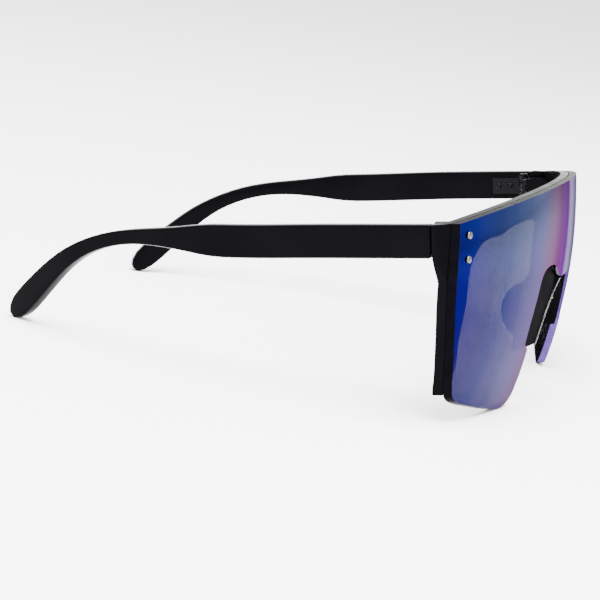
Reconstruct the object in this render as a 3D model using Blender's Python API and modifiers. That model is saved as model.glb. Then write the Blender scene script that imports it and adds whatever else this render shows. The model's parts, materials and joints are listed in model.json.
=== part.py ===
"""Flat-top shield sunglasses with a mirrored one-piece lens and folding temples.

The glasses are modelled as they are worn: X to the wearer's left, Y towards the temple tips,
Z up, with the seams between front and temples at Y = 0 and the tops of the temples at Z = 0.
An empty then leans the whole pair back, so that it stands on its lens and its temple tips.
"""
import math

import bmesh
import bpy
from mathutils import Matrix, Vector

MM = 0.001
DEG = math.pi / 180

# Driving sizes: half of the width over the temples, and the reach of the lens below the temple tops
half_width = 74.9 * MM
lens_height = 56.2 * MM

# Shield lens: part of a sphere, cut by an outline seen from the front
lens_radius = 164 * MM
lens_centre_height = 2.4 * MM
lens_thickness = 2.1 * MM
end_piece_flare = 2.5 * MM
end_piece_depth = 7.25 * MM
lens_half_width = half_width - end_piece_flare
lens_front = end_piece_depth + lens_radius - math.sqrt(lens_radius ** 2 - lens_half_width ** 2)
lens_crown = 4.1 * MM
lens_foot_narrowing = 7.2 * MM

# Nose notch of the lens, with a tab of the lens in the middle of its top
notch_half_width = 30.6 * MM
notch_top_share = 0.326
notch_top = notch_top_share * lens_height
notch_tab = 5.1 * MM
notch_step = 3.2 * MM
notch_step_rise = 2.0 * MM
nose_leg_share = 0.73
nose_leg_bottom = nose_leg_share * lens_height

# Front frame, moulded behind the lens
fit_gap = 0.3 * MM
frame_thickness = 2.3 * MM
brow_height = 7.4 * MM
brow_outer_drop = 2.6 * MM
side_bar_width = 8.5 * MM
side_bar_share = 0.838
side_bar_length = side_bar_share * lens_height
bridge_half_width = 8.0 * MM
bridge_above_notch = 2.1 * MM
bridge_bottom = notch_top - bridge_above_notch

# End pieces, from the corners of the front back to the hinges
end_piece_width = 5.6 * MM
end_piece_height = 8.9 * MM
end_piece_sweep = 7.0 * MM
hinge_lug_width = 12.4 * MM
hinge_lug_top = 1.6 * MM
hinge_lug_bottom = 7.5 * MM
end_piece_step = 0.15 * MM

# Nose piece
nose_overlap = 0.9 * MM
nose_lip_thickness = 0.9 * MM
nose_recess = 1.2 * MM
nose_plate_thickness = 1.6 * MM
nose_rim_width = 2.6 * MM
nose_rim_depth = 4.2 * MM
nose_web = 1.5 * MM
nose_opening_top = notch_top + notch_tab + nose_web
nose_opening_half_width = 16.4 * MM

# Nose pads, soft and seated on the backs of the nose piece's legs
pad_gap = 0.33 * MM
pad_height = 16.4 * MM
pad_width = 14.6 * MM
pad_thickness = 2.6 * MM
pad_splay = 24 * DEG
pad_setback = 11.1 * MM
pad_depth = lens_front - pad_setback
pad_drop_share = 0.57
pad_drop = pad_drop_share * lens_height
pad_half_spacing = 13.4 * MM
pad_peg_radius = 0.5 * MM
pad_peg_length = 3.8 * MM
pad_weld_distance = 0.05 * MM

# Temples
temple_length = 131.7 * MM
temple_height = 8.9 * MM
temple_neck_height = 4.0 * MM
temple_tip_height = 6.9 * MM
tip_round_share = 0.72
temple_thickness = 3.9 * MM
temple_drop = 29.1 * MM
temple_toe_in = 25.2 * MM
temple_edge_round = 0.7 * MM
seam_gap = 0.35 * MM

# Hinges
barrel_radius = 1.7 * MM
barrel_bore_radius = 0.85 * MM
hinge_height = 6.6 * MM
middle_knuckle_height = 2.4 * MM
leaf_thickness = 0.8 * MM
leaf_height = 5.2 * MM
front_leaf_length = 6.6 * MM
temple_leaf_length = 10.5 * MM
hinge_drop = 4.5 * MM
hinge_screw_radius = 0.55 * MM
hinge_screw_head_radius = 1.25 * MM
hinge_screw_head_height = 0.5 * MM
leaf_screw_radius = 0.45 * MM
leaf_screw_depth = 1.9 * MM
leaf_screw_head_radius = 0.95 * MM
leaf_screw_head_height = 0.45 * MM

# Rivets that hold the lens on the frame
rivet_head_radius = 1.0 * MM
rivet_head_height = 0.4 * MM
rivet_shank_radius = 0.6 * MM
rivet_length = 3.4 * MM
rivet_inset = 3.4 * MM
rivet_drop = 3.4 * MM
rivet_spacing = 6.4 * MM

# The glasses never stand at a steeper angle than this
steepest_lean = -30 * DEG

# Cutters reach past what they cut by this much
overrun = 6 * MM
weld_distance = 0.001 * MM

# Number of facets
shell_columns = 36
shell_rows = 16
temple_columns = 40
round_sides = 20

LEFT = 1
RIGHT = -1
SIDE_NAMES = {RIGHT: "right", LEFT: "left"}


def start_scene():
    """Empty the scene and return the collections for the parts and for their cutters."""
    for item in list(bpy.data.objects):
        bpy.data.objects.remove(item)
    made = []
    for name in ("shield_sunglasses", "cutters"):
        group = bpy.data.collections.new(name)
        bpy.context.scene.collection.children.link(group)
        made.append(group)
    return made


PARTS, CUTTERS = start_scene()


def material(name, colour, roughness, metallic=0.0, alpha=1.0):
    made = bpy.data.materials.new(name)
    made.use_nodes = True
    shader = made.node_tree.nodes["Principled BSDF"]
    shader.inputs["Base Color"].default_value = (*colour, 1.0)
    shader.inputs["Roughness"].default_value = roughness
    shader.inputs["Metallic"].default_value = metallic
    shader.inputs["Alpha"].default_value = alpha
    return made


BLACK = material("black_gloss_plastic", (0.012, 0.010, 0.013), 0.18)
MIRROR = material("blue_mirror_lens", (0.05, 0.10, 0.45), 0.05, metallic=0.9)
STEEL = material("bright_steel", (0.75, 0.75, 0.78), 0.25, metallic=1.0)
HINGE_STEEL = material("black_coated_steel", (0.10, 0.10, 0.11), 0.35, metallic=1.0)
PAD_SOFT = material("grey_silicone", (0.20, 0.27, 0.27), 0.45)


def move_to(item, group):
    for old in list(item.users_collection):
        old.objects.unlink(item)
    group.objects.link(item)


def as_part(item, finish):
    """Put an object among the parts, with its own copy of a material."""
    move_to(item, PARTS)
    own = finish.copy()
    own.name = item.name + "_" + finish.name
    item.data.materials.clear()
    item.data.materials.append(own)
    item.data.shade_smooth()
    item.data.set_sharp_from_angle(angle=35 * DEG)
    return item


def as_cutter(item):
    move_to(item, CUTTERS)
    item.hide_render = True
    item.display_type = "WIRE"
    return item


def boolean(item, other, operation):
    step = item.modifiers.new(operation.lower() + "_" + other.name, "BOOLEAN")
    step.operation = operation
    step.object = other
    step.solver = "EXACT"


def curve_to_mesh(item):
    """Replace a curve object by a welded mesh object in the same place."""
    bpy.context.view_layer.update()
    evaluated = item.evaluated_get(bpy.context.evaluated_depsgraph_get())
    data = bpy.data.meshes.new_from_object(evaluated)
    work = bmesh.new()
    work.from_mesh(data)
    bmesh.ops.remove_doubles(work, verts=work.verts, dist=weld_distance)
    bmesh.ops.recalc_face_normals(work, faces=work.faces)
    work.to_mesh(data)
    work.free()
    name = item.name
    made = bpy.data.objects.new(name, data)
    bpy.context.scene.collection.objects.link(made)
    made.matrix_world = item.matrix_world.copy()
    bpy.data.objects.remove(item)
    made.name = name
    return made


def prism(name, points, half_depth, matrix, steps=3):
    """A flat outline, extruded both ways. A point is (x, y) on a smooth run or (x, y, True) at a corner."""
    data = bpy.data.curves.new(name, "CURVE")
    data.dimensions = "2D"
    data.fill_mode = "BOTH"
    data.extrude = half_depth
    data.resolution_u = steps
    spline = data.splines.new("BEZIER")
    spline.bezier_points.add(len(points) - 1)
    for knot, point in zip(spline.bezier_points, points):
        knot.co = (point[0], point[1], 0)
        kind = "VECTOR" if len(point) > 2 else "AUTO"
        knot.handle_left_type = kind
        knot.handle_right_type = kind
    spline.use_cyclic_u = True
    item = bpy.data.objects.new(name, data)
    bpy.context.scene.collection.objects.link(item)
    item.matrix_world = matrix
    return curve_to_mesh(item)


FRONT_VIEW = Matrix.Rotation(90 * DEG, 4, "X")
SIDE_VIEW = Matrix.Rotation(90 * DEG, 4, "Z") @ FRONT_VIEW


def mirrored(half):
    """Close a half outline, which starts and ends on X = 0, with its mirror image."""
    inner = [point for point in half if point[0] > 0]
    back = [(-point[0],) + tuple(point[1:]) for point in reversed(inner)]
    return half + back


def box(name, low, high):
    bpy.ops.mesh.primitive_cube_add(size=1)
    item = bpy.context.object
    item.name = name
    size = [b - a for a, b in zip(low, high)]
    middle = [(a + b) / 2 for a, b in zip(low, high)]
    item.data.transform(Matrix.Translation(middle) @ Matrix.Diagonal((*size, 1)))
    return item


def rod(name, radius, low, high, matrix=None, sides=round_sides):
    """A cylinder along Z from low to high, then placed by a matrix."""
    bpy.ops.mesh.primitive_cylinder_add(vertices=sides, radius=radius, depth=high - low)
    item = bpy.context.object
    item.name = name
    item.data.transform(Matrix.Translation((0, 0, (low + high) / 2)))
    if matrix is not None:
        item.data.transform(matrix)
    return item


def turned(name, profile, matrix=None, sides=round_sides):
    """A turned solid: a profile of (radius, height) pairs from top to bottom, with a Screw modifier."""
    data = bpy.data.meshes.new(name)
    data.from_pydata([(r, 0, z) for r, z in profile], [(i, i + 1) for i in range(len(profile) - 1)], [])
    item = bpy.data.objects.new(name, data)
    bpy.context.scene.collection.objects.link(item)
    if matrix is not None:
        item.matrix_world = matrix
    step = item.modifiers.new("turn", "SCREW")
    step.axis = "Z"
    step.steps = sides
    step.render_steps = sides
    step.use_merge_vertices = True
    step.merge_threshold = weld_distance
    return item


def lens_depth(x, z, inset=0.0):
    """Y of the sphere that lies inset behind the lens's front face."""
    radius = lens_radius - inset
    across = radius ** 2 - x ** 2 - (z - lens_centre_height) ** 2
    return lens_radius - lens_front - math.sqrt(across)


def lens_matrix(x, z):
    """A frame on the lens's front face, with its Z axis pointing straight out of the lens."""
    place = Vector((x, lens_depth(x, z), z))
    centre = Vector((0, lens_radius - lens_front, lens_centre_height))
    out = (place - centre).normalized()
    return Matrix.Translation(place) @ out.to_track_quat("Z", "Y").to_matrix().to_4x4()


def shell(name, inset, thickness):
    """A rectangular patch of the lens sphere, made solid towards the face."""
    bpy.ops.mesh.primitive_grid_add(x_subdivisions=shell_columns, y_subdivisions=shell_rows, size=2)
    item = bpy.context.object
    item.name = name
    reach_x = max(half_width, lens_half_width) + overrun
    reach_up = lens_crown + overrun
    reach_down = lens_height + overrun
    middle_z = (reach_up - reach_down) / 2
    half_z = (reach_up + reach_down) / 2
    for vertex in item.data.vertices:
        x = vertex.co.x * reach_x
        z = middle_z + vertex.co.y * half_z
        vertex.co = (x, lens_depth(x, z, inset), z)
    step = item.modifiers.new("thickness", "SOLIDIFY")
    step.thickness = thickness
    step.offset = -1
    return item


def top_edge(x):
    """Height of the top edge of the front, which rises towards its middle."""
    return lens_crown * (1 - (x / lens_half_width) ** 2)


# Stations along the top edge, as shares of the lens's half width
TOP_EDGE_SHARES = (0, 0.2, 0.4, 0.6, 0.8, 1)

# Outer edge of the lens below its top corner: inward shares of the foot narrowing, shares of the height
OUTER_EDGE_SHARES = ((-0.04, 0.165), (0.0, 0.36), (0.28, 0.55), (0.73, 0.75))

# Foot of the lens, from its outer corner to its nose edge: shares of the half width and of the height
FOOT_SHARES = ((0.908, 0.818), (0.886, 0.857), (0.842, 0.888), (0.750, 0.926), (0.662, 0.958),
               (0.577, 0.985), (0.505, 1.0), (0.452, 0.996), (0.416, 0.968), (0.396, 0.900))

# Side and top of the nose notch: shares of its half width, shares of the way down from its top
NOTCH_SHARES = ((0.987, 0.72), (0.955, 0.545), (0.906, 0.32), (0.858, 0.128), (0.765, 0.026),
                (0.66, 0.0), (0.56, 0.0))

# Lower edge of the tab: shares of the notch's half width, shares of the tab's height
TAB_SHARES = ((0.49, 0.06), (0.42, 0.24), (0.34, 0.56), (0.25, 0.85), (0.13, 0.98))

# Lower edge of the brow: shares of the lens's half width, drops below the middle of the brow
BROW_EDGE_SHARES = ((0.878, 3.5), (0.850, 2.2), (0.815, 1.38), (0.764, 1.0), (0.695, 0.96),
                    (0.622, 0.42), (0.547, 0.19), (0.459, 0.04), (0.358, 0.0))

# Inner edge of a side bar: shares of its width towards the nose, shares of its length
BAR_EDGE_SHARES = ((-0.14, 0.955), (0.02, 0.915), (0.12, 0.857), (-0.04, 0.70), (0.0, 0.47))

# Corner between the brow and the bridge: shares of the bridge's half width, drops as for the brow
BRIDGE_CORNER_SHARES = ((1.42, 0.06), (1.13, 0.45), (1.01, 1.3))

# Side of the nose opening, from its foot to its top: shares of its half width and of its height
NOSE_OPENING_SHARES = ((0.90, 0.27), (0.73, 0.54), (0.50, 0.78), (0.24, 0.95))


# Height of the nose rim above the opening, and beside it, as shares of the rim's width
RIM_TOP_SHARE = 0.5
RIM_SLOPE_SHARE = 0.9


def top_points(half_width_here):
    points = [(share * half_width_here, top_edge(share * half_width_here)) for share in TOP_EDGE_SHARES]
    last = points.pop()
    return points + [(last[0], last[1], True)]


def outer_edge_points(half_width_here):
    return [(half_width_here - share * lens_foot_narrowing, -low * lens_height)
            for share, low in OUTER_EDGE_SHARES]


def notch_points(gap):
    """Nose notch from its step up to the middle of the lens, moved inwards by a gap."""
    height = nose_leg_bottom - notch_top
    seat = notch_half_width - notch_step
    step_low = nose_leg_bottom - gap
    step_high = step_low - notch_step_rise
    side = [(share * notch_half_width - gap, -notch_top - gap - low * height)
            for share, low in NOTCH_SHARES]
    edges = [(seat - gap, -step_low, True), (notch_half_width - gap, -step_high, True)]
    tab = [(share * notch_half_width, -notch_top - gap - low * notch_tab) for share, low in TAB_SHARES]
    return edges + side + tab + [(0, -notch_top - gap - notch_tab)]


def lens_outline():
    foot = [(share * lens_half_width, -low * lens_height) for share, low in FOOT_SHARES]
    half = top_points(lens_half_width) + outer_edge_points(lens_half_width)
    return mirrored(half + foot + notch_points(0.0))


def frame_outline():
    """Brow, side bars and bridge of the front frame, seen from the front."""
    outer = lens_half_width - fit_gap
    bar_inner = lens_half_width - side_bar_width
    brow = brow_height - lens_crown
    foot_x = FOOT_SHARES[0][0] * lens_half_width
    half = top_points(outer) + outer_edge_points(outer)
    half += [
        (foot_x - fit_gap, -side_bar_length * 0.985),
        (foot_x - side_bar_width * 0.1, -side_bar_length),
    ]
    half += [(bar_inner - share * side_bar_width, -low * side_bar_length)
             for share, low in BAR_EDGE_SHARES]
    half += [(share * lens_half_width, -brow - low * brow_outer_drop)
             for share, low in BROW_EDGE_SHARES]
    half += [(share * bridge_half_width, -brow - low * brow_outer_drop)
             for share, low in BRIDGE_CORNER_SHARES]
    half += [(bridge_half_width, -bridge_bottom, True), (0, -bridge_bottom)]
    return mirrored(half)


def end_piece_block(side):
    """End piece: a thick patch of the shell, trimmed by its front, side and top views."""
    name = "end_piece_" + SIDE_NAMES[side]
    shoulder = half_width - end_piece_width
    inner = half_width - hinge_lug_width
    low = end_piece_height + end_piece_sweep
    inset = lens_thickness + fit_gap
    block = shell(name, inset + end_piece_step, overrun + overrun)
    front = [
        (side * shoulder, -end_piece_height, True),
        (side * shoulder, -hinge_lug_bottom, True),
        (side * inner, -hinge_lug_bottom, True),
        (side * inner, -hinge_lug_top, True),
        (side * shoulder, -hinge_lug_top, True),
        (side * shoulder, top_edge(shoulder), True),
        (side * (lens_half_width - fit_gap), 0, True),
        (side * half_width, 0, True),
        (side * half_width, -end_piece_height, True),
        (side * (half_width * 2 + lens_half_width) / 3, -end_piece_height - end_piece_sweep * 0.45),
        (side * (lens_half_width - end_piece_step), -low, True),
        (side * (lens_half_width - side_bar_width / 2), -low, True),
    ]
    deep = lens_front + overrun
    tall = lens_height
    boolean(block, as_cutter(prism(name + "_front_view", front, deep, FRONT_VIEW, 4)), "INTERSECT")
    bar_back = lens_depth(lens_half_width, -low, inset + frame_thickness)
    profile = [
        (-deep, lens_crown + overrun, True),
        (0, lens_crown + overrun, True),
        (0, -end_piece_height, True),
        (bar_back * 0.45, -end_piece_height - end_piece_sweep * 0.40),
        (bar_back * 0.88, -end_piece_height - end_piece_sweep * 0.75),
        (bar_back, -low - overrun, True),
        (-deep, -low - overrun, True),
    ]
    boolean(block, as_cutter(prism(name + "_side_view", profile, half_width + overrun, SIDE_VIEW, 4)),
            "INTERSECT")
    corner = lens_depth(lens_half_width, 0, inset)
    plan = [
        (side * (inner - overrun), overrun, True),
        (side * (half_width + end_piece_step), overrun, True),
        (side * (half_width + end_piece_step), corner * 0.12, True),
        (side * (half_width * 0.45 + lens_half_width * 0.55), corner * 0.62),
        (side * (lens_half_width - fit_gap), corner, True),
        (side * (lens_half_width - fit_gap), corner - overrun, True),
        (side * (inner - overrun), corner - overrun, True),
    ]
    boolean(block, as_cutter(prism(name + "_top_view", plan, tall, Matrix.Identity(4), 4)), "INTERSECT")
    return as_cutter(block)


def hinge_axis(side):
    """X and Y of a hinge axis: one barrel inside the temple, and one leaf behind the end piece."""
    x = half_width - temple_thickness - fit_gap - barrel_radius
    y = fit_gap + barrel_radius
    return side * x, y


def rivet_places(side):
    x = side * (lens_half_width - rivet_inset)
    return (("upper", x, -rivet_drop), ("lower", x, -rivet_drop - rivet_spacing))


def front_leaf_screw_places(side):
    """Middles of the two screws that hold a front leaf on its end piece."""
    x, y = hinge_axis(side)
    reach = front_leaf_length - barrel_radius
    return [(x - side * (barrel_radius + reach * share), y - barrel_radius, -hinge_drop)
            for share in FRONT_SCREW_SHARES]


FRONT_SCREW_SHARES = (0.22, 0.76)
TEMPLE_SCREW_SHARES = (0.36, 0.78)


def make_front():
    frame = shell("front_frame", lens_thickness + fit_gap, frame_thickness)
    depth = lens_front + overrun
    boolean(frame, as_cutter(prism("frame_outline", frame_outline(), depth, FRONT_VIEW, 4)), "INTERSECT")
    for side in (RIGHT, LEFT):
        boolean(frame, end_piece_block(side), "UNION")
    for side in (RIGHT, LEFT):
        for level, x, z in rivet_places(side):
            radius = rivet_shank_radius + fit_gap
            hole = rod("rivet_bore_" + level + "_" + SIDE_NAMES[side], radius,
                       -rivet_length - fit_gap, overrun, lens_matrix(x, z))
            boolean(frame, as_cutter(hole), "DIFFERENCE")
        for number, place in enumerate(front_leaf_screw_places(side)):
            hole = rod("front_screw_bore_%d_" % number + SIDE_NAMES[side], leaf_screw_radius + fit_gap,
                       -leaf_screw_depth - fit_gap, overrun, along_y(place))
            boolean(frame, as_cutter(hole), "DIFFERENCE")
    return as_part(frame, BLACK)


def make_lens():
    lens = shell("shield_lens", 0.0, lens_thickness)
    depth = lens_front + overrun
    boolean(lens, as_cutter(prism("lens_outline", lens_outline(), depth, FRONT_VIEW, 4)), "INTERSECT")
    for side in (RIGHT, LEFT):
        for level, x, z in rivet_places(side):
            hole = rod("lens_hole_" + level + "_" + SIDE_NAMES[side], rivet_shank_radius + fit_gap,
                       -overrun, overrun, lens_matrix(x, z))
            boolean(lens, as_cutter(hole), "DIFFERENCE")
    return as_part(lens, MIRROR)


def make_rivets():
    """Domed rivets through the lens into blind holes of the frame."""
    made = []
    for side in (RIGHT, LEFT):
        for level, x, z in rivet_places(side):
            seat = fit_gap
            profile = [
                (0, seat + rivet_head_height),
                (rivet_head_radius * 0.62, seat + rivet_head_height * 0.84),
                (rivet_head_radius * 0.92, seat + rivet_head_height * 0.42),
                (rivet_head_radius, seat),
                (rivet_shank_radius, seat),
                (rivet_shank_radius, -rivet_length),
                (0, -rivet_length),
            ]
            name = "lens_rivet_" + level + "_" + SIDE_NAMES[side]
            made.append(as_part(turned(name, profile, lens_matrix(x, z)), STEEL))
    return made


def opening_points():
    """Nose opening from the foot of a leg up to its middle."""
    rise = nose_leg_bottom - nose_opening_top
    side = [(share * nose_opening_half_width, -nose_leg_bottom + up * rise)
            for share, up in NOSE_OPENING_SHARES]
    foot = (nose_opening_half_width, -nose_leg_bottom, True)
    return [foot] + side + [(0, -nose_opening_top)]


def nose_flange_outline():
    """Front view of the part of the nose piece that lies behind the lens."""
    edge = notch_half_width + nose_overlap
    top = bridge_bottom + fit_gap
    height = nose_leg_bottom - top
    half = [
        (0, -top),
        (edge * 0.40, -top),
        (edge * 0.72, -top),
        (edge * 0.85, -top - height * 0.07),
        (edge * 0.92, -top - height * 0.24),
        (edge * 0.97, -top - height * 0.60),
        (edge, -top - height * 0.86),
        (edge * 0.975, -top - height * 0.97),
        (edge * 0.90, -nose_leg_bottom),
    ]
    return mirrored(half + opening_points())


def nose_rim_outline():
    """Front view of the rim that runs round the nose opening and stands back from it."""
    inside = opening_points()
    wider = (nose_opening_half_width + nose_rim_width) / nose_opening_half_width
    half = [(0, -nose_opening_top + nose_rim_width * RIM_TOP_SHARE)]
    half += [(x * wider, z + nose_rim_width * RIM_TOP_SHARE * RIM_SLOPE_SHARE)
             for x, z in reversed(inside[1:-1])]
    half += [(nose_opening_half_width + nose_rim_width, -nose_leg_bottom, True)]
    return mirrored(half + inside)


def nose_plug_outline():
    """Front view of the part of the nose piece that fills the lens's notch."""
    half = list(reversed(notch_points(fit_gap)))
    return mirrored(half + opening_points())


def pad_matrix(side):
    """A frame in the middle of a pad: X across the pad's thickness, Y along its width, Z up."""
    turn = Matrix.Rotation(side * -pad_splay, 4, "Z")
    return Matrix.Translation((side * pad_half_spacing, -pad_depth, -pad_drop)) @ turn


def pad_peg(name, side, gap):
    """Peg of a pad, or its socket when there is a gap, pointing forwards from the pad's middle."""
    forwards = pad_matrix(side) @ Matrix.Rotation(90 * DEG, 4, "X")
    return as_cutter(rod(name, pad_peg_radius + gap, 0, pad_peg_length + gap, forwards))


def make_nose_pad(side):
    """Soft oval pad, cut off behind the rim of the nose piece and held in it by a peg."""
    bpy.ops.mesh.primitive_uv_sphere_add(segments=28, ring_count=14, radius=1)
    pad = bpy.context.object
    pad.name = "nose_pad_" + SIDE_NAMES[side]
    size = Matrix.Diagonal((pad_thickness / 2, pad_width / 2, pad_height / 2, 1))
    pad.data.transform(pad_matrix(side) @ size)
    leg_back = nose_recess + nose_rim_depth
    room = shell(pad.name + "_room", -overrun, overrun + leg_back + pad_gap)
    boolean(pad, as_cutter(room), "DIFFERENCE")
    boolean(pad, pad_peg(pad.name + "_peg", side, 0.0), "UNION")
    weld = pad.modifiers.new("weld", "WELD")
    weld.merge_threshold = pad_weld_distance
    return as_part(pad, PAD_SOFT)


def make_nose_piece():
    nose = shell("nose_piece", lens_thickness + fit_gap, nose_lip_thickness)
    depth = lens_front + overrun
    outline = prism("nose_flange_outline", nose_flange_outline(), depth, FRONT_VIEW, 4)
    boolean(nose, as_cutter(outline), "INTERSECT")
    for name, outline_points, thickness in (
        ("nose_plate", nose_plug_outline(), nose_plate_thickness),
        ("nose_rim", nose_rim_outline(), nose_rim_depth),
    ):
        layer = shell(name, nose_recess, thickness)
        outline = prism(name + "_outline", outline_points, depth, FRONT_VIEW, 4)
        boolean(layer, as_cutter(outline), "INTERSECT")
        boolean(nose, as_cutter(layer), "UNION")
    for side in (RIGHT, LEFT):
        boolean(nose, pad_peg("pad_socket_" + SIDE_NAMES[side], side, pad_gap), "DIFFERENCE")
    return as_part(nose, BLACK)


def along_y(place):
    """A frame whose Z axis points back along Y."""
    return Matrix.Translation(place) @ Matrix.Rotation(-90 * DEG, 4, "X")


def along_x(place, side):
    """A frame whose Z axis points inwards along X."""
    return Matrix.Translation(place) @ Matrix.Rotation(-side * 90 * DEG, 4, "Y")


# Centre line of a temple: shares of its length, and of its drop below the middle of its front end
TEMPLE_LINE_SHARES = ((0.0, 0.0), (0.22, 0.0), (0.43, 0.012), (0.545, -0.008), (0.65, -0.012),
                      (0.72, 0.033), (0.785, 0.138), (0.84, 0.288), (0.885, 0.462), (0.93, 0.662),
                      (0.982, 0.903), (1.0, 1.0))

# Height of a temple along its length: shares of the way from its full height (0) to its neck (1),
# and then of the way from its neck (0) to its tip (1)
TEMPLE_NECK_SHARES = ((0.0, 0.0), (0.44, 0.0), (0.49, 0.12), (0.55, 0.55), (0.61, 0.86), (0.67, 1.0))
TEMPLE_TIP_SHARES = ((0.67, 0.0), (0.75, 0.05), (0.80, 0.2), (0.86, 0.55), (0.93, 0.95), (1.0, 1.0))


def smooth_table(table, place):
    """Value of a table of (place, value) pairs at a place, along a smooth curve through the pairs."""
    last = len(table) - 2
    index = 0
    while index < last and place > table[index + 1][0]:
        index += 1
    before = table[max(index - 1, 0)]
    here, there = table[index], table[index + 1]
    after = table[min(index + 2, last + 1)]
    span = there[0] - here[0]
    slope_here = (there[1] - before[1]) / (there[0] - before[0]) * span
    slope_there = (after[1] - here[1]) / (after[0] - here[0]) * span
    t = (place - here[0]) / span
    t2, t3 = t * t, t * t * t
    return (here[1] * (2 * t3 - 3 * t2 + 1) + slope_here * (t3 - 2 * t2 + t)
            + there[1] * (3 * t2 - 2 * t3) + slope_there * (t3 - t2))


def temple_line(share):
    """Y and Z of a temple's centre line."""
    drop = temple_drop - temple_height / 2
    return share * temple_length, -temple_height / 2 - drop * smooth_table(TEMPLE_LINE_SHARES, share)


def temple_height_at(share):
    if share < TEMPLE_TIP_SHARES[0][0]:
        return temple_height + (temple_neck_height - temple_height) * smooth_table(TEMPLE_NECK_SHARES, share)
    height = temple_neck_height + (temple_tip_height - temple_neck_height) * smooth_table(
        TEMPLE_TIP_SHARES, share)
    tip_share = temple_tip_height * tip_round_share / temple_length
    to_end = (share - (1 - tip_share)) / tip_share
    if to_end > 0:
        height *= math.sqrt(max(1 - (to_end * 0.94) ** 2, 0))
    return height


def temple_inward(y):
    """How far a temple has come in from its straight line at y."""
    share = y / temple_length
    return temple_toe_in * share ** 2.6


def make_temple(side):
    bpy.ops.mesh.primitive_grid_add(x_subdivisions=temple_columns, y_subdivisions=4, size=2)
    temple = bpy.context.object
    temple.name = "temple_" + SIDE_NAMES[side]
    small = 1 / temple_columns
    first = seam_gap / temple_length
    for vertex in temple.data.vertices:
        along = (vertex.co.x + 1) / 2
        share = first + (1 - first) * (1 - (1 - along) ** 1.25)
        y, z = temple_line(share)
        y2, z2 = temple_line(min(share + small, 1.0))
        y1, z1 = temple_line(max(share - small, 0.0))
        run = Vector((y2 - y1, z2 - z1)).normalized()
        reach = vertex.co.y * temple_height_at(share) / 2
        y -= run.y * reach
        z += run.x * reach
        if along == 0:
            y = seam_gap
        vertex.co = (side * (half_width - temple_inward(y)), y, z)
    if side < 0:
        temple.data.flip_normals()
    step = temple.modifiers.new("thickness", "SOLIDIFY")
    step.thickness = temple_thickness
    step.offset = -1
    step.use_even_offset = True
    for number, place in enumerate(temple_leaf_screw_places(side)):
        hole = rod("temple_screw_bore_%d_" % number + SIDE_NAMES[side], leaf_screw_radius + fit_gap,
                   -leaf_screw_depth - fit_gap, overrun / 2, along_x(place, side))
        boolean(temple, as_cutter(hole), "DIFFERENCE")
    edge = temple.modifiers.new("rounded_edges", "BEVEL")
    edge.width = temple_edge_round
    edge.segments = 2
    edge.limit_method = "ANGLE"
    edge.angle_limit = 50 * DEG
    temple.modifiers.move(len(temple.modifiers) - 1, 1)
    return as_part(temple, BLACK)


def temple_leaf_screw_places(side):
    """Middles of the two screws that hold a temple leaf on the inside of its temple."""
    x, y = hinge_axis(side)
    reach = temple_leaf_length - barrel_radius
    return [(x + side * barrel_radius, y + barrel_radius + reach * share, -hinge_drop)
            for share in TEMPLE_SCREW_SHARES]


def knuckle(name, side, low, high):
    """One barrel of a hinge between two heights above the hinge's middle, without its bore."""
    x, y = hinge_axis(side)
    place = Matrix.Translation((x, y, -hinge_drop))
    return rod(name, barrel_radius, low, high, place)


def hinge_bore(name, side):
    x, y = hinge_axis(side)
    place = Matrix.Translation((x, y, -hinge_drop))
    return as_cutter(rod(name, barrel_bore_radius, -hinge_height, hinge_height, place))


def screw_holes(leaf, name, places, matrix_of):
    for number, place in enumerate(places):
        hole = rod(name + "_hole_%d" % number, leaf_screw_radius + fit_gap, -overrun / 2, overrun / 2,
                   matrix_of(place))
        boolean(leaf, as_cutter(hole), "DIFFERENCE")


def make_front_leaf(side):
    """Middle knuckle with its leaf, flat on the back of the end piece."""
    name = "hinge_front_leaf_" + SIDE_NAMES[side]
    x, y = hinge_axis(side)
    half = middle_knuckle_height / 2
    back = y - barrel_radius
    near, far = x - side * barrel_radius / 2, x - side * front_leaf_length
    leaf = box(name, (min(near, far), back, -hinge_drop - leaf_height / 2),
               (max(near, far), back + leaf_thickness, -hinge_drop + leaf_height / 2))
    edge = half - fit_gap * 0.1
    boolean(leaf, as_cutter(clearing(name + "_relief_upper", side, edge, hinge_height)), "DIFFERENCE")
    boolean(leaf, as_cutter(clearing(name + "_relief_lower", side, -hinge_height, -edge)), "DIFFERENCE")
    boolean(leaf, as_cutter(knuckle(name + "_knuckle", side, -half, half)), "UNION")
    boolean(leaf, hinge_bore(name + "_bore", side), "DIFFERENCE")
    screw_holes(leaf, name, front_leaf_screw_places(side), along_y)
    return as_part(leaf, HINGE_STEEL)


def clearing(name, side, low, high):
    """Room round the barrel, where the other leaf's knuckles turn."""
    x, y = hinge_axis(side)
    place = Matrix.Translation((x, y, -hinge_drop))
    return rod(name, barrel_radius + fit_gap, low, high, place)


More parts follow.
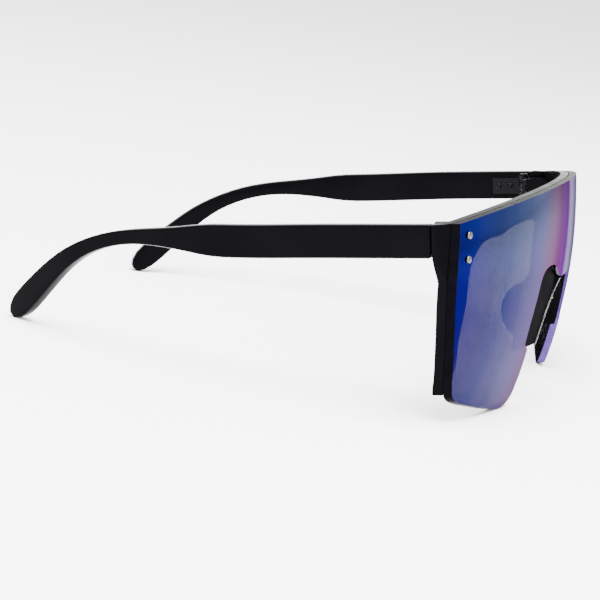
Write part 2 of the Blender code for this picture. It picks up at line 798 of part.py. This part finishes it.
def make_temple_leaf(side):
    """Upper and lower knuckles with their leaf, flat on the inside of the temple."""
    name = "hinge_temple_leaf_" + SIDE_NAMES[side]
    x, y = hinge_axis(side)
    half = middle_knuckle_height / 2
    outside = x + side * barrel_radius
    inside = outside - side * leaf_thickness
    leaf = box(name, (min(inside, outside), y + barrel_radius / 2, -hinge_drop - leaf_height / 2),
               (max(inside, outside), y + temple_leaf_length, -hinge_drop + leaf_height / 2))
    boolean(leaf, as_cutter(clearing(name + "_relief", side, -half - fit_gap, half + fit_gap)), "DIFFERENCE")
    boolean(leaf, as_cutter(knuckle(name + "_upper", side, half + fit_gap, hinge_height / 2)), "UNION")
    boolean(leaf, as_cutter(knuckle(name + "_lower", side, -hinge_height / 2, -half - fit_gap)), "UNION")
    boolean(leaf, hinge_bore(name + "_bore", side), "DIFFERENCE")
    screw_holes(leaf, name, temple_leaf_screw_places(side), lambda place: along_x(place, side))
    return as_part(leaf, HINGE_STEEL)


def make_hinge_screw(side):
    """Screw down through the three knuckles, with a slotted head above them."""
    name = "hinge_screw_" + SIDE_NAMES[side]
    x, y = hinge_axis(side)
    seat = hinge_height / 2 + fit_gap
    top = seat + hinge_screw_head_height
    profile = [
        (0, top),
        (hinge_screw_head_radius * 0.8, top),
        (hinge_screw_head_radius, top - hinge_screw_head_height * 0.35),
        (hinge_screw_head_radius, seat),
        (hinge_screw_radius, seat),
        (hinge_screw_radius, -hinge_height / 2),
        (0, -hinge_height / 2),
    ]
    screw = turned(name, profile, Matrix.Translation((x, y, -hinge_drop)))
    boolean(screw, driver_slot(name, hinge_screw_head_radius, top, (x, y, -hinge_drop)), "DIFFERENCE")
    return as_part(screw, STEEL)


def driver_slot(name, radius, top, place, matrix=None):
    """Straight slot across a screw's head."""
    low = (-radius * 1.5, -radius * 0.16, top - radius * 0.22)
    high = (radius * 1.5, radius * 0.16, top + radius)
    slot = box(name + "_slot", low, high)
    slot.data.transform(Matrix.Translation(place) if matrix is None else matrix)
    return as_cutter(slot)


def make_leaf_screws(side):
    made = []
    seat = leaf_thickness + fit_gap
    top = seat + leaf_screw_head_height
    profile = [
        (0, top),
        (leaf_screw_head_radius * 0.75, top),
        (leaf_screw_head_radius, seat + leaf_screw_head_height * 0.4),
        (leaf_screw_head_radius, seat),
        (leaf_screw_radius, seat),
        (leaf_screw_radius, -leaf_screw_depth),
        (0, -leaf_screw_depth),
    ]
    groups = (
        ("front_leaf_screw_", ("outer", "inner"), front_leaf_screw_places(side), along_y),
        ("temple_leaf_screw_", ("front", "rear"), temple_leaf_screw_places(side),
         lambda place: along_x(place, side)),
    )
    for start, ends, places, matrix_of in groups:
        for end, place in zip(ends, places):
            name = start + end + "_" + SIDE_NAMES[side]
            matrix = matrix_of(place)
            screw = turned(name, profile, matrix, sides=16)
            boolean(screw, driver_slot(name, leaf_screw_head_radius, top, place, matrix), "DIFFERENCE")
            made.append(as_part(screw, STEEL))
    return made


def empty(name, place):
    item = bpy.data.objects.new(name, None)
    PARTS.objects.link(item)
    item.location = place
    return item


def hold(item, parent):
    """Parent an object without moving it."""
    bpy.context.view_layer.update()
    placed = item.matrix_world.copy()
    item.parent = parent
    item.matrix_parent_inverse = parent.matrix_world.inverted()
    item.matrix_world = placed


def hold_with_cutters(item, parent):
    """Parent an object and, through them all, the cutters of its modifiers."""
    for step in item.modifiers:
        if step.type == "BOOLEAN":
            hold_with_cutters(step.object, parent)
    hold(item, parent)


def side_points(item):
    """Y and Z of an object's vertices, as built with its modifiers."""
    bpy.context.view_layer.update()
    evaluated = item.evaluated_get(bpy.context.evaluated_depsgraph_get())
    mesh = evaluated.to_mesh()
    points = [evaluated.matrix_world @ vertex.co for vertex in mesh.vertices]
    evaluated.to_mesh_clear()
    return [(point.y, point.z) for point in points]


def lowest(points, lean):
    """Lowest height of (y, z) points after the whole is leant by an angle about X."""
    return min(y * math.sin(lean) + z * math.cos(lean) for y, z in points)


def middle_depth(front, back, lean):
    """Middle of the leant glasses, between the lens's front and the temple tips."""
    first = min(y * math.cos(lean) - z * math.sin(lean) for y, z in front)
    last = max(y * math.cos(lean) - z * math.sin(lean) for y, z in back)
    return (first + last) / 2


def standing_lean(front, back):
    """Angle that brings the temple tips down to the level of the lens's foot."""
    low, high = steepest_lean, 0.0
    for _ in range(40):
        middle = (low + high) / 2
        if lowest(back, middle) > lowest(front, middle):
            high = middle
        else:
            low = middle
    return middle


def main():
    stand = empty("stand", (0, 0, 0))
    pivots = {}
    for side in (RIGHT, LEFT):
        x, y = hinge_axis(side)
        pivots[side] = empty("temple_pivot_" + SIDE_NAMES[side], (x, y, -hinge_drop))
        hold(pivots[side], stand)
    lens = make_lens()
    fixed = [make_front(), lens, make_nose_piece()] + make_rivets()
    temples = []
    for side in (RIGHT, LEFT):
        fixed += [make_nose_pad(side), make_front_leaf(side), make_hinge_screw(side)]
        temples.append(make_temple(side))
        moving = [temples[-1], make_temple_leaf(side)]
        for screw in make_leaf_screws(side):
            (fixed if screw.name.startswith("front") else moving).append(screw)
        for item in moving:
            hold_with_cutters(item, pivots[side])
    for item in fixed:
        hold_with_cutters(item, stand)
    front = side_points(lens)
    back = side_points(temples[0]) + side_points(temples[1])
    lean = standing_lean(front, back)
    stand.location = (0, -middle_depth(front, back, lean), -lowest(front, lean))
    stand.rotation_euler = (lean, 0, 0)
    bpy.context.view_layer.update()


main()
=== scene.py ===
"""Looks of the flat-top shield sunglasses: black plastic, a mirror-coated lens and small steel parts."""

import json
import math

import bmesh
import bpy
from mathutils import Matrix, Vector


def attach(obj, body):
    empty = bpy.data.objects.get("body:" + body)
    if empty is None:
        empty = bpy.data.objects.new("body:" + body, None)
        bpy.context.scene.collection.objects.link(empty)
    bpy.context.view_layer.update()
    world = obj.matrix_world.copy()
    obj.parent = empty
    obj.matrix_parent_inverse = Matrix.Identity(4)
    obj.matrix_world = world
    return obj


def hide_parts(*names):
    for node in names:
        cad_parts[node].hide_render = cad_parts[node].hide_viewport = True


MM = 0.001
DEG = math.pi / 180

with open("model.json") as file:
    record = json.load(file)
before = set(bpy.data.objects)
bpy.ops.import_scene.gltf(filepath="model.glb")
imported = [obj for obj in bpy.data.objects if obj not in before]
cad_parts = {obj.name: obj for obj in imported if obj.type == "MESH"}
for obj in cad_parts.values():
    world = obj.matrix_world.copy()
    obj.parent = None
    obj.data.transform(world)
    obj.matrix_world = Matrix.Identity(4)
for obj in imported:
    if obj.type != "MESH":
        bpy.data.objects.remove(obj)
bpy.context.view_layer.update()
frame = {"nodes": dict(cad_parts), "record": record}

# The worn position (temple tops level, seams at Y = 0) and how it leans in the row frame
worn_to_row = Matrix.Translation((0, -49.26 * MM, 53.97 * MM)) @ Matrix.Rotation(-10.904 * DEG, 4, "X")

# Camera, in the worn position: its place, the right and up directions of the picture, and its lens
camera_place = Vector((-597.3, -120.9, 62.6)) * MM
camera_right = Vector((0.28267, -0.95856, -0.03553))
camera_up = Vector((0.15360, 0.00867, 0.98809))
camera_lens = 124.58
sensor_width = 36

# Studio: a pale floor, an even sky and two softboxes, in metres and watts
floor_size = 8
floor_grey = 0.86
sky_strength = 2.7
TOP_SOFTBOX = {"place": (-0.3, -0.1, 1.1), "aim": (0, 0, 0), "size": (0.9, 0.9), "power": 90.0}
SIDE_SOFTBOX = {"place": (-0.9, -0.9, 0.7), "aim": (0, 0, 0.03), "size": (0.8, 0.6), "power": 18.0}

# Lens sphere, in the worn position
lens_radius = 164 * MM
lens_front = 24.1 * MM
lens_centre_height = 2.4 * MM

# Cut edges of the lens that lie within this reach and below this height belong to the nose notch
nose_edge_reach = 33 * MM
nose_edge_top = 46 * MM
flat_on_share = 0.8

# Nose piece: how far it lies behind the lens front, and the bead along its opening
nose_recess = 1.2 * MM
nose_bead_radius = 0.30 * MM
nose_bead_offset = 0.35 * MM

# Opening of the nose piece, in the worn position: half width, and how far its top and foot lie below
# the temple tops. Its edge is given from the foot up, as shares of the half width and of the height
nose_opening_half_width = 16.4 * MM
nose_opening_top = 24.92 * MM
nose_opening_foot = 41.03 * MM
NOSE_OPENING_SHARES = ((1.0, 0.0), (0.90, 0.27), (0.73, 0.54), (0.50, 0.78), (0.24, 0.95))

# Rounded edges: width, smallest angle that is rounded, and segments
MOULDED_EDGES = (0.5 * MM, 38 * DEG, 3)
LENS_EDGES = (0.18 * MM, 50 * DEG, 2)
merge_distance = 0.002 * MM
flat_angle = 0.4 * DEG

# Depths of the fine relief of the surfaces, and how far light spreads in the pads
skin_depth = 0.02 * MM
grain_depth = 0.01 * MM
pad_glow = 1.2 * MM

# Dark and light shades of each material
GLOSS_BLACK = ((0.0008, 0.0007, 0.0010), (0.0014, 0.0012, 0.0018))
MATTE_BLACK = ((0.0010, 0.0009, 0.0012), (0.0018, 0.0016, 0.0021))
BEAD_BLACK = ((0.0012, 0.0011, 0.0014), (0.0020, 0.0018, 0.0024))
SMOKE = ((0.0020, 0.0018, 0.0026), (0.0032, 0.0028, 0.0040))
DARK_CUT = ((0.0008, 0.0007, 0.0012), (0.0014, 0.0012, 0.0026))
VIOLET_CUT = ((0.055, 0.033, 0.140), (0.080, 0.050, 0.190))
GREY_GREEN = ((0.12, 0.23, 0.16), (0.16, 0.30, 0.21))
TURNED_STEEL = (0.10, 0.10, 0.104)
BLACK_STEEL = (0.007, 0.007, 0.008)
worn_share = 0.8

# Colours of the mirror coat, from where it faces the eye (0) to where it turns away (1)
MIRROR_STOPS = [
    (0.40, (0.013, 0.015, 0.105)),
    (0.43, (0.018, 0.023, 0.127)),
    (0.46, (0.028, 0.036, 0.120)),
    (0.50, (0.042, 0.054, 0.112)),
    (0.545, (0.065, 0.086, 0.148)),
    (0.605, (0.122, 0.150, 0.198)),
    (0.67, (0.220, 0.255, 0.290)),
    (0.74, (0.380, 0.360, 0.290)),
    (0.81, (0.420, 0.400, 0.250)),
    (0.87, (0.058, 0.060, 0.078)),
    (0.93, (0.034, 0.024, 0.063)),
]
MIRROR_EDGE_TINT = (0.125, 0.078, 0.225, 1.0)

# Painted shade: how much the coat's colour is darkened and greyed, from the foot of the lens (0) to its top
# (1)
FOOT_SHADE_STOPS = [
    (0.0, (0.30, 0.50, 0.66)),
    (0.45, (0.28, 0.48, 0.64)),
    (0.62, (0.24, 0.42, 0.58)),
    (0.78, (0.10, 0.20, 0.28)),
    (0.86, (0.0, 0.0, 0.0)),
]

# From facing the eye to turned away: how much of that painted shade shows, how metallic the coat is
# over the violet plastic, and how much light it stops
FOOT_SHADE_SHARES = ((0.42, 1.0), (0.50, 0.75), (0.62, 0.50), (0.75, 0.30), (0.90, 0.0))
METAL_SHARES = ((0.84, 1.0), (0.90, 0.0))
COAT_SHARES = ((0.42, 0.88), (0.60, 0.87), (0.68, 0.92), (0.76, 0.98), (0.88, 1.0))

# Where a fading gloss begins to die away, and where it has gone
fade_start = 0.55
fade_end = 0.82


def new_material(name):
    made = bpy.data.materials.new(name)
    made.use_nodes = True
    return made, made.node_tree, made.node_tree.nodes["Principled BSDF"]


def node(tree, kind, **values):
    made = tree.nodes.new(kind)
    for key, value in values.items():
        setattr(made, key, value)
    return made


def set_inputs(made, values):
    for key, value in values.items():
        made.inputs[key].default_value = value


def coordinates(tree):
    return node(tree, "ShaderNodeTexCoord").outputs["Object"]


def noise(tree, place, scale, detail, roughness):
    made = node(tree, "ShaderNodeTexNoise")
    set_inputs(made, {"Scale": scale, "Detail": detail, "Roughness": roughness})
    tree.links.new(place, made.inputs["Vector"])
    return made.outputs["Fac"]


def spread(tree, value, low, high):
    """The middle range of a noise, spread from low to high."""
    made = node(tree, "ShaderNodeMapRange")
    set_inputs(made, {"From Min": 0.3, "From Max": 0.7, "To Min": low, "To Max": high})
    tree.links.new(value, made.inputs["Value"])
    return made.outputs["Result"]


def bump(tree, shader, height, distance, strength):
    made = node(tree, "ShaderNodeBump")
    set_inputs(made, {"Strength": strength, "Distance": distance})
    tree.links.new(height, made.inputs["Height"])
    tree.links.new(made.outputs["Normal"], shader.inputs["Normal"])


def ramp(tree, value, stops):
    made = node(tree, "ShaderNodeValToRGB")
    elements = made.color_ramp.elements
    while len(elements) > len(stops):
        elements.remove(elements[-1])
    while len(elements) < len(stops):
        elements.new(1.0)
    for element, (place, colour) in zip(elements, stops):
        element.position = place
        element.color = (*colour, 1.0)
    tree.links.new(value, made.inputs["Fac"])
    return made.outputs["Color"]


def grey_ramp(tree, value, shares):
    """A ramp that carries one number."""
    return ramp(tree, value, [(place, (share, share, share)) for place, share in shares])


def vector_math(tree, operation, first, second):
    """Joins two colours, each one the output of a node or a fixed value."""
    made = node(tree, "ShaderNodeVectorMath", operation=operation)
    for socket, value in zip(made.inputs, (first, second)):
        if isinstance(value, tuple):
            socket.default_value = value
        else:
            tree.links.new(value, socket)
    return made.outputs["Vector"]


def turned_away(tree):
    """0 where the surface faces the eye, 1 where it is seen edge on."""
    made = node(tree, "ShaderNodeLayerWeight")
    set_inputs(made, {"Blend": 0.5})
    return made.outputs["Facing"]


def fade_gloss(tree, shader, level):
    """Gloss that dies away where the surface turns from the eye."""
    shares = ((fade_start, level), (fade_end, 0.0))
    tree.links.new(grey_ramp(tree, turned_away(tree), shares), shader.inputs["Specular IOR Level"])


def black_plastic(name, shades, roughness, gloss, fades=False):
    """Black moulding: faint flow marks in the colour, a fine orange peel and fingerprints in the gloss."""
    made, tree, shader = new_material(name)
    place = coordinates(tree)
    flow = noise(tree, place, scale=45, detail=4, roughness=0.6)
    tint = ramp(tree, flow, [(0.35, shades[0]), (0.7, shades[1])])
    tree.links.new(tint, shader.inputs["Base Color"])
    skin = spread(tree, noise(tree, place, scale=120, detail=5, roughness=0.6), *roughness)
    tree.links.new(skin, shader.inputs["Roughness"])
    set_inputs(shader, {"IOR": 1.5, "Specular IOR Level": gloss})
    if fades:
        fade_gloss(tree, shader, gloss)
    peel = noise(tree, place, scale=900, detail=2, roughness=0.5)
    bump(tree, shader, peel, skin_depth, strength=0.35)
    return made


def mirror_front(name):
    """Mirror coat: its colour runs from blue where it faces the eye to violet where it turns away, with
    painted shade darkening and greying it towards the foot of the lens.
    """
    made, tree, shader = new_material(name)
    turned = turned_away(tree)
    height = node(tree, "ShaderNodeSeparateXYZ")
    tree.links.new(node(tree, "ShaderNodeTexCoord").outputs["Generated"], height.inputs["Vector"])
    # Painted shade: the coat is darkened and greyed towards the foot of the lens, most where it faces the eye
    painted_shade = ramp(tree, height.outputs["Z"], FOOT_SHADE_STOPS)
    painted_shade = vector_math(tree, "MULTIPLY", painted_shade, grey_ramp(tree, turned, FOOT_SHADE_SHARES))
    kept = vector_math(tree, "SUBTRACT", (1.0, 1.0, 1.0), painted_shade)
    colour = vector_math(tree, "MULTIPLY", ramp(tree, turned, MIRROR_STOPS), kept)
    tree.links.new(colour, shader.inputs["Base Color"])
    wiped = noise(tree, coordinates(tree), scale=60, detail=5, roughness=0.6)
    polish = spread(tree, wiped, low=0.03, high=0.07)
    tree.links.new(polish, shader.inputs["Roughness"])
    tree.links.new(grey_ramp(tree, turned, COAT_SHARES), shader.inputs["Alpha"])
    tree.links.new(grey_ramp(tree, turned, METAL_SHARES), shader.inputs["Metallic"])
    set_inputs(shader, {"Specular IOR Level": 0.0, "Specular Tint": MIRROR_EDGE_TINT})
    return made


def tinted_back(name):
    """Uncoated back of the lens: clear, smoke-tinted plastic."""
    made, tree, shader = new_material(name)
    place = coordinates(tree)
    clouds = noise(tree, place, scale=20, detail=3, roughness=0.5)
    tint = ramp(tree, clouds, [(0.3, SMOKE[0]), (0.8, SMOKE[1])])
    tree.links.new(tint, shader.inputs["Base Color"])
    wiped = noise(tree, place, scale=60, detail=5, roughness=0.6)
    polish = spread(tree, wiped, low=0.04, high=0.09)
    tree.links.new(polish, shader.inputs["Roughness"])
    fade_gloss(tree, shader, level=0.12)
    set_inputs(shader, {"IOR": 1.58, "Alpha": 0.88})
    return made


def cut_edge(name, shades):
    """Cut edge of the lens, which gathers the colour of the coat."""
    made, tree, shader = new_material(name)
    place = coordinates(tree)
    clouds = noise(tree, place, scale=300, detail=3, roughness=0.5)
    tint = ramp(tree, clouds, [(0.3, shades[0]), (0.8, shades[1])])
    tree.links.new(tint, shader.inputs["Base Color"])
    saw_marks = noise(tree, place, scale=700, detail=4, roughness=0.6)
    tree.links.new(spread(tree, saw_marks, low=0.18, high=0.36), shader.inputs["Roughness"])
    set_inputs(shader, {"IOR": 1.58, "Specular IOR Level": 0.006})
    return made


def steel(name, colour, roughness, grain):
    """Metal with fine turning or brushing marks."""
    made, tree, shader = new_material(name)
    stretched = node(tree, "ShaderNodeMapping")
    set_inputs(stretched, {"Scale": grain})
    tree.links.new(coordinates(tree), stretched.inputs["Vector"])
    marks = noise(tree, stretched.outputs["Vector"], scale=900, detail=4, roughness=0.7)
    darker = tuple(part * worn_share for part in colour)
    tree.links.new(ramp(tree, marks, [(0.3, darker), (0.7, colour)]), shader.inputs["Base Color"])
    tree.links.new(spread(tree, marks, *roughness), shader.inputs["Roughness"])
    set_inputs(shader, {"Metallic": 1.0})
    bump(tree, shader, marks, grain_depth, strength=0.3)
    return made


def silicone(name):
    """Soft pad: cloudy, slightly see-through, with a fine matte skin."""
    made, tree, shader = new_material(name)
    place = coordinates(tree)
    clouds = noise(tree, place, scale=90, detail=3, roughness=0.5)
    tint = ramp(tree, clouds, [(0.3, GREY_GREEN[0]), (0.75, GREY_GREEN[1])])
    tree.links.new(tint, shader.inputs["Base Color"])
    skin = noise(tree, place, scale=500, detail=4, roughness=0.6)
    tree.links.new(spread(tree, skin, low=0.38, high=0.55), shader.inputs["Roughness"])
    set_inputs(shader, {"IOR": 1.41, "Specular IOR Level": 0.3, "Subsurface Weight": 0.25})
    set_inputs(shader, {"Subsurface Radius": (1.0, 1.1, 1.0), "Subsurface Scale": pad_glow})
    pores = noise(tree, place, scale=1400, detail=3, roughness=0.6)
    bump(tree, shader, pores, skin_depth, strength=0.4)
    return made


def dress(item, *materials):
    item.data.materials.clear()
    for made in materials:
        item.data.materials.append(made)


def add_item(name, data):
    item = bpy.data.objects.new(name, data)
    bpy.context.scene.collection.objects.link(item)
    return item


def shaped_mesh(item):
    """The mesh of an object with its modifiers or its curve bevel worked out."""
    bpy.context.view_layer.update()
    return bpy.data.meshes.new_from_object(item.evaluated_get(bpy.context.evaluated_depsgraph_get()))


def refined(name, source, edges):
    """A copy of a CAD node with rounded edges and clean shading, which stands for the node."""
    data = frame["nodes"][source].data.copy()
    work = bmesh.new()
    work.from_mesh(data)
    bmesh.ops.remove_doubles(work, verts=work.verts, dist=merge_distance)
    bmesh.ops.dissolve_limit(work, angle_limit=flat_angle, verts=work.verts, edges=work.edges)
    work.to_mesh(data)
    work.free()
    if "custom_normal" in data.attributes:
        data.attributes.remove(data.attributes["custom_normal"])
    item = add_item(name, data)
    data.shade_smooth()
    rounded = item.modifiers.new("rounded_edges", "BEVEL")
    rounded.width, rounded.angle_limit, rounded.segments = edges
    rounded.limit_method = "ANGLE"
    rounded.harden_normals = False
    normals = item.modifiers.new("clean_shading", "WEIGHTED_NORMAL")
    normals.keep_sharp = True
    shaped = shaped_mesh(item)
    item.modifiers.clear()
    item.data = shaped
    return item


def body_of(source):
    for body, names in frame["record"]["behaviour"]["bodies"].items():
        if source in names:
            return body


def stand_for(item, source):
    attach(item, body_of(source))
    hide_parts(source)


def dress_plastics():
    black = black_plastic("gloss_black", GLOSS_BLACK, roughness=(0.16, 0.26), gloss=0.013)
    matte = black_plastic("matte_black", MATTE_BLACK, roughness=(0.42, 0.55), gloss=0.003, fades=True)
    for source in ("front_frame", "nose_piece", "temple_right", "temple_left"):
        item = refined("moulded_" + source, source, MOULDED_EDGES)
        dress(item, matte if source == "nose_piece" else black)
        stand_for(item, source)


def dress_pads():
    soft = silicone("grey_silicone")
    for source in ("nose_pad_right", "nose_pad_left"):
        item = refined("soft_" + source, source, MOULDED_EDGES)
        dress(item, soft)
        stand_for(item, source)


def bead_path():
    """Middle line of the bead on the front of the nose piece, from its right foot to its middle."""
    height = nose_opening_foot - nose_opening_top
    spots = [(-wide * nose_opening_half_width - nose_bead_offset, high * height - nose_opening_foot)
             for wide, high in NOSE_OPENING_SHARES]
    spots.append((0, nose_bead_offset - nose_opening_top))
    reach = lens_radius - nose_recess
    places = []
    for x, z in spots:
        depth = math.sqrt(reach ** 2 - x ** 2 - (z - lens_centre_height) ** 2)
        places.append(worn_to_row @ Vector((x, lens_radius - lens_front - depth, z)))
    return places


def add_nose_bead():
    """Thin glossy bead along the inner front edge of the nose piece's right half."""
    data = bpy.data.curves.new("nose_bead", "CURVE")
    data.dimensions = "3D"
    data.bevel_depth = nose_bead_radius
    data.bevel_resolution = 3
    data.use_fill_caps = True
    line = data.splines.new("NURBS")
    places = bead_path()
    line.points.add(len(places) - 1)
    for point, place in zip(line.points, places):
        point.co = (*place, 1.0)
    line.use_endpoint_u = True
    line.order_u = 3
    line.resolution_u = 6
    curve = add_item("nose_bead_curve", data)
    mesh = shaped_mesh(curve)
    bpy.data.objects.remove(curve)
    bead = add_item("nose_bead", mesh)
    mesh.shade_smooth()
    dress(bead, black_plastic("bead_gloss", BEAD_BLACK, roughness=(0.10, 0.16), gloss=0.5))
    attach(bead, "front")


def sort_lens_faces(item):
    """Front faces get slot 0, back faces slot 1, outer cut edges slot 2 and the left edge at the nose slot 3.

    The right edge at the nose is clear, like the back.
    """
    centre = worn_to_row @ Vector((0, lens_radius - lens_front, lens_centre_height))
    for face in item.data.polygons:
        facing = face.normal.dot((face.center - centre).normalized())
        at_nose = abs(face.center.x) < nose_edge_reach and face.center.z < nose_edge_top
        if facing > flat_on_share:
            face.material_index = 0
        elif facing < -flat_on_share:
            face.material_index = 1
        elif at_nose:
            face.material_index = 3 if face.center.x > 0 else 1
        else:
            face.material_index = 2


def dress_lens():
    item = refined("mirrored_lens", "shield_lens", LENS_EDGES)
    outer = cut_edge("cut_edge", DARK_CUT)
    nose = cut_edge("violet_edge", VIOLET_CUT)
    dress(item, mirror_front("mirror_coat"), tinted_back("smoke_back"), outer, nose)
    sort_lens_faces(item)
    stand_for(item, "shield_lens")


def dress_metal():
    """Bright rivets, and black-coated hinge leaves and screws."""
    bright = steel("turned_steel", TURNED_STEEL, roughness=(0.20, 0.34), grain=(1.0, 1.0, 1.0))
    satin = steel("black_coated_steel", BLACK_STEEL, roughness=(0.30, 0.45), grain=(1.0, 0.15, 1.0))
    for name, item in frame["nodes"].items():
        if "rivet" in name:
            dress(item, bright)
        elif "leaf" in name or "screw" in name:
            dress(item, satin)


def set_camera():
    data = bpy.data.cameras.new("photo_camera")
    data.lens = camera_lens
    data.sensor_width = sensor_width
    item = add_item("photo_camera", data)
    back = camera_right.cross(camera_up)
    turn = Matrix((camera_right, camera_up, back)).transposed().to_4x4()
    item.matrix_world = worn_to_row @ Matrix.Translation(camera_place) @ turn
    bpy.context.scene.camera = item


def softbox(name, values):
    data = bpy.data.lights.new(name, "AREA")
    data.shape = "RECTANGLE"
    data.size, data.size_y = values["size"]
    data.energy = values["power"]
    item = add_item(name, data)
    item.location = values["place"]
    aim = Vector(values["aim"]) - Vector(values["place"])
    item.rotation_euler = aim.to_track_quat("-Z", "Y").to_euler()
    return item


def set_stage():
    bpy.ops.mesh.primitive_plane_add(size=floor_size)
    floor = bpy.context.object
    floor.name = "floor"
    made, tree, shader = new_material("pale_floor")
    colour = (floor_grey, floor_grey, floor_grey, 1)
    set_inputs(shader, {"Base Color": colour, "Roughness": 0.9, "Specular IOR Level": 0.1})
    dress(floor, made)
    world = bpy.data.worlds.new("studio")
    world.use_nodes = True
    set_inputs(world.node_tree.nodes["Background"], {"Color": (1, 1, 1, 1), "Strength": sky_strength})
    bpy.context.scene.world = world
    softbox("top_softbox", TOP_SOFTBOX)
    softbox("side_softbox", SIDE_SOFTBOX)


dress_plastics()
dress_pads()
add_nose_bead()
dress_lens()
dress_metal()
set_camera()
set_stage()
